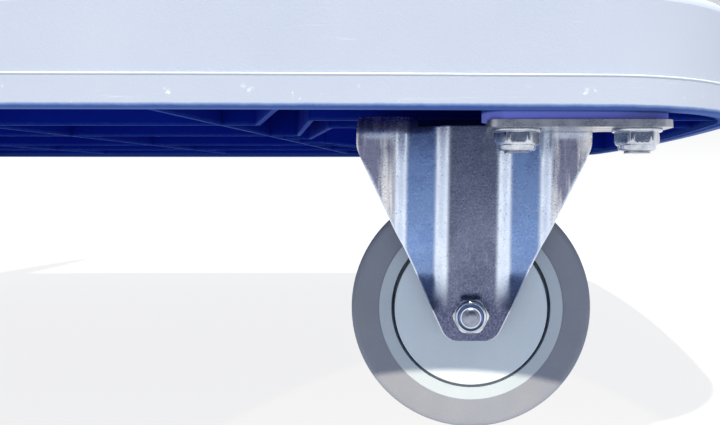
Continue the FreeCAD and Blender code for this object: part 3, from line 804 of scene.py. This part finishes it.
def stud_fits(x, y, edge):
    """Whether a stud at x, y keeps inside the mat's outline. edge is the mat's highest corner."""
    corner = 0.06
    corner_gap = 0.006
    end_gap = 0.010
    side_gap = 0.012
    side_bow = 0.010
    past_x = x - (edge.x - corner - end_gap)
    past_y = abs(y) - (edge.y - corner - side_gap)
    if past_x > 0 and past_y > 0 and math.hypot(past_x, past_y) > corner - corner_gap:
        return False
    return abs(y) <= edge.y - side_gap - side_bow * (abs(x) / edge.x) ** 2


def stud(x, y, foot):
    """Verts and faces of one low stud, from three rings."""
    radius = 0.0046
    around = 14
    rings = []
    for scale, lift in ((1.0, 0.0), (0.86, 0.00055), (0.55, 0.0008)):
        turns = [2 * math.pi * k / around for k in range(around)]
        steps = [Vector((math.cos(turn), math.sin(turn), 0)) * radius * scale for turn in turns]
        rings.append([Vector((x, y, foot + lift - 0.0001)) + step for step in steps])
    return bridged(rings)


def mat_studs():
    """Low round studs in a staggered pattern over the mat."""
    low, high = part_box("deck_mat")
    pitch = 0.0175
    margin = 0.016
    middle = (low + high) / 2
    count_x = int((high.x - low.x - 2 * margin) / pitch)
    count_y = int((high.y - low.y - 2 * margin) / pitch)
    studs = []
    for i in range(count_x + 1):
        for j in range(count_y + 1):
            x = middle.x + (i - count_x / 2) * pitch
            y = middle.y + (j - count_y / 2) * pitch + (pitch / 4 if i % 2 else -pitch / 4)
            if stud_fits(x, y, high):
                studs.append(stud(x, y, high.z))
    verts, faces = joined(studs)
    piece("mat_studs", verts, faces, "mat", "deck", smooth=False)


def pedal_grips(place):
    """Raised bars across the tread of a brake pedal."""
    low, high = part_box(f"rear_{place}_brake_pedal")
    middle_y = (low.y + high.y) / 2
    half_width = 0.0135
    first_bar, spacing = 0.012, 0.0045
    bar_width, bar_height = 0.0011, 0.0009
    turns = [2 * math.pi * k / 8 for k in range(8)]
    bars = []
    for i in range(4):
        x = high.x - first_bar - i * spacing
        section = [(x + bar_width * math.cos(t), PEDAL_TREAD_Z + bar_height * math.sin(t)) for t in turns]
        ends = (middle_y - half_width, middle_y + half_width)
        bars.append(bridged([[(along, y, up) for along, up in section] for y in ends]))
    verts, faces = joined(bars)
    piece(f"rear_{place}_pedal_grips", verts, faces, "pedal", f"rear_{place}_pedal")


def outline_at(name, height, reach=0.0004):
    """The outermost corners of a CAD node near a height, in order round the deck."""
    level = [v.co.copy() for v in nodes[name].data.vertices if abs(v.co.z - height) < reach]
    return [level[i] for i in convex_hull_2d([corner.xy for corner in level])]


def ridge_bead():
    """A fine raised line round the band, half sunk in its step, paler than the band as a painted highlight.
    """
    corners = outline_at("edge_bumper", RIDGE_HEIGHT)
    section = 16
    verts = []
    count = len(corners)
    for i, corner in enumerate(corners):
        along = corners[(i + 1) % count] - corners[i - 1]
        out = Vector((along.y, -along.x, 0)).normalized()
        for k in range(section):
            roll = 2 * math.pi * k / section
            step = out * math.cos(roll) + Vector((0, 0, math.sin(roll)))
            middle = corner - out * RIDGE_SUNK - Vector((0, 0, RIDGE_DROP))
            verts.append(middle + step * RIDGE_RADIUS)
    piece("ridge_bead", verts, looped(count, section), "ridge_highlight", "deck")


def weld_bead(place, side):
    """A rippled bead where the cross bar meets a leg of the handle."""
    low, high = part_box("cross_bar")
    centre = (low + high) / 2
    bar_r = (high.z - low.z) / 2
    bead_r, ripple_depth, ripples = 0.0019, 0.00025, 24
    flatness = 0.8
    around, section = 96, 10
    verts = []
    for i in range(around):
        turn = 2 * math.pi * i / around
        ripple = bead_r + ripple_depth * math.sin(turn * ripples)
        x = bar_r * math.cos(turn)
        z = bar_r * math.sin(turn)
        y = side * (HANDLE_LEG_Y - math.sqrt(HANDLE_LEG_R ** 2 - x ** 2))
        for k in range(section):
            roll = 2 * math.pi * k / section
            out = ripple * math.cos(roll)
            verts.append(Vector((
                centre.x + x + out * math.cos(turn),
                y - side * ripple * math.sin(roll) * flatness,
                centre.z + z + out * math.sin(turn),
            )))
    piece(f"cross_bar_weld_{place}", verts, looped(around, section), "zinc", "handle")


# ---- stage ----

def stage():
    """A pale floor that glows, like a light table, under a pale sky, a sun and a small spot."""
    mesh = bpy.data.meshes.new("floor")
    corners = [(FLOOR_REACH * x, FLOOR_REACH * y, 0) for x, y in ((-1, -1), (1, -1), (1, 1), (-1, 1))]
    mesh.from_pydata(corners, [], [(0, 1, 2, 3)])
    floor = bpy.data.objects.new("floor", mesh)
    bpy.context.scene.collection.objects.link(floor)
    make = Maker("floor")
    shade = make.mix(make.remap(make.noise(3.0), *BROAD_NOISE), (0.12, 0.12, 0.12), (0.11, 0.11, 0.11))
    make.link(shade, make.shader.inputs["Base Color"])
    make.shader.inputs["Roughness"].default_value = 0.9
    make.shader.inputs["Specular IOR Level"].default_value = 0.1
    make.shader.inputs["Emission Color"].default_value = (1.0, 1.0, 1.0, 1.0)
    make.shader.inputs["Emission Strength"].default_value = FLOOR_GLOW
    mesh.materials.append(make.material)

    sky()
    sun()
    wheel_light()


def sky():
    """White at the horizon and dimmer and bluer overhead, with a dark side on the trolley's right.

    Camera rays don't see the dark side, so the background stays white.
    """
    world = bpy.data.worlds.new("studio")
    bpy.context.scene.world = world
    world.use_nodes = True
    tree = world.node_tree
    place = tree.nodes.new("ShaderNodeTexCoord")
    split = tree.nodes.new("ShaderNodeSeparateXYZ")
    ramp = tree.nodes.new("ShaderNodeValToRGB")
    ramp.color_ramp.elements[0].color = (HORIZON_LIGHT, HORIZON_LIGHT, HORIZON_LIGHT, 1.0)
    ramp.color_ramp.elements[0].position = SKY_DIMS[0]
    ramp.color_ramp.elements[1].color = (*(part * ZENITH_LIGHT for part in ZENITH_TINT), 1.0)
    ramp.color_ramp.elements[1].position = SKY_DIMS[1]
    tree.links.new(place.outputs["Generated"], split.inputs["Vector"])
    tree.links.new(split.outputs["Z"], ramp.inputs["Fac"])
    wall = tree.nodes.new("ShaderNodeMapRange")
    wall.inputs["From Min"].default_value = WALL_FADE[0]
    wall.inputs["From Max"].default_value = WALL_FADE[1]
    tree.links.new(split.outputs["Y"], wall.inputs["Value"])
    seen = tree.nodes.new("ShaderNodeLightPath")
    unseen = tree.nodes.new("ShaderNodeMath")
    unseen.operation = "MULTIPLY_ADD"
    unseen.inputs[1].default_value = -1.0
    unseen.inputs[2].default_value = 1.0
    tree.links.new(seen.outputs["Is Camera Ray"], unseen.inputs[0])
    amount = tree.nodes.new("ShaderNodeMath")
    amount.operation = "MULTIPLY"
    tree.links.new(wall.outputs["Result"], amount.inputs[0])
    tree.links.new(unseen.outputs[0], amount.inputs[1])
    mix = tree.nodes.new("ShaderNodeMixRGB")
    mix.inputs["Color2"].default_value = (*WALL_COLOUR, 1.0)
    tree.links.new(amount.outputs[0], mix.inputs["Fac"])
    tree.links.new(ramp.outputs["Color"], mix.inputs["Color1"])
    tree.links.new(mix.outputs["Color"], tree.nodes["Background"].inputs["Color"])


def light(name, kind, energy, colour, turn, place=(0.0, 0.0, 0.0)):
    data = bpy.data.lights.new(name, kind)
    data.energy = energy
    data.color = colour
    lamp = bpy.data.objects.new(name, data)
    lamp.rotation_euler = turn
    lamp.location = place
    bpy.context.scene.collection.objects.link(lamp)
    return data


def sun():
    """High enough that the deck shades the wheels."""
    turn = (math.pi / 2 - SUN_ELEVATION, 0.0, SUN_TURN)
    light("sun", "SUN", SUN_ENERGY, SUN_COLOUR, turn).angle = SUN_ANGLE


def wheel_light():
    """A warm spot from low in front, whose round edge crosses the bottom of the photographed wheel."""
    low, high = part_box("front_right_tyre")
    middle_x = (low.x + high.x) / 2
    away = 1.4
    lamp_height = 0.30
    edge_height = 0.0250
    spread = 0.20
    lamp = Vector((middle_x - 0.01, low.y - away, lamp_height))
    half_cone = math.atan(spread / away)
    drop = math.atan((lamp_height - edge_height) / away) + half_cone
    turn = (math.pi / 2 - drop, 0.0, 0.0)
    spot = light("wheel_light", "SPOT", SPOT_POWER, SPOT_COLOUR, turn, lamp)
    spot.spot_size = 2 * half_cone
    spot.spot_blend = 0.012
    spot.shadow_soft_size = 0.0015


def camera():
    """Level, square to the deck's side and close to it, in front of the right-hand front caster."""
    wheel_low, wheel_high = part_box("front_right_tyre")
    data = bpy.data.cameras.new("camera")
    data.sensor_width = 36.0
    data.lens = CAMERA_LENS
    data.shift_x = CAMERA_SHIFT_X
    data.shift_y = CAMERA_SHIFT_Y
    data.clip_start = 0.01
    view = bpy.data.objects.new("camera", data)
    view.location = ((wheel_low.x + wheel_high.x) / 2, CAMERA_Y, CAMERA_Z)
    view.rotation_euler = (math.pi / 2, 0.0, 0.0)
    bpy.context.scene.collection.objects.link(view)
    bpy.context.scene.camera = view


def dress_nodes():
    """Gives every CAD node its slot's material, and rounds the edges of the moulded and pressed ones."""
    slots = {entry["node"]: entry["material_slot"] for entry in frame["record"]["subparts"]}
    for name, obj in nodes.items():
        paint(obj, materials[slots[name]])
    for name in nodes:
        if name.endswith(("caster_plate", "axle_nut", "axle_bolt")) or name == "caster_nuts":
            soften(nodes[name], SMALL_EDGE)
        swivel_fork = name.startswith("rear") and name.endswith("fork")
        if swivel_fork or name.endswith(("hinge_bracket", "brake_pedal")):
            soften(nodes[name], PRESSED_EDGE)
    soften(nodes["deck_body"], MOULDED_EDGE)


dress_nodes()
camera()
stage()
for place, side in SIDES.items():
    rigid_fork(place, side)
    axle_fasteners("front", place, side, "deck")
    axle_fasteners("rear", place, side, f"rear_{place}_swivel")
    pedal_grips(place)
    weld_bead(place, side)
caster_nuts()
ridge_bead()
foam_grip()
mat_studs()
bpy.context.scene.view_settings.view_transform = "Standard"
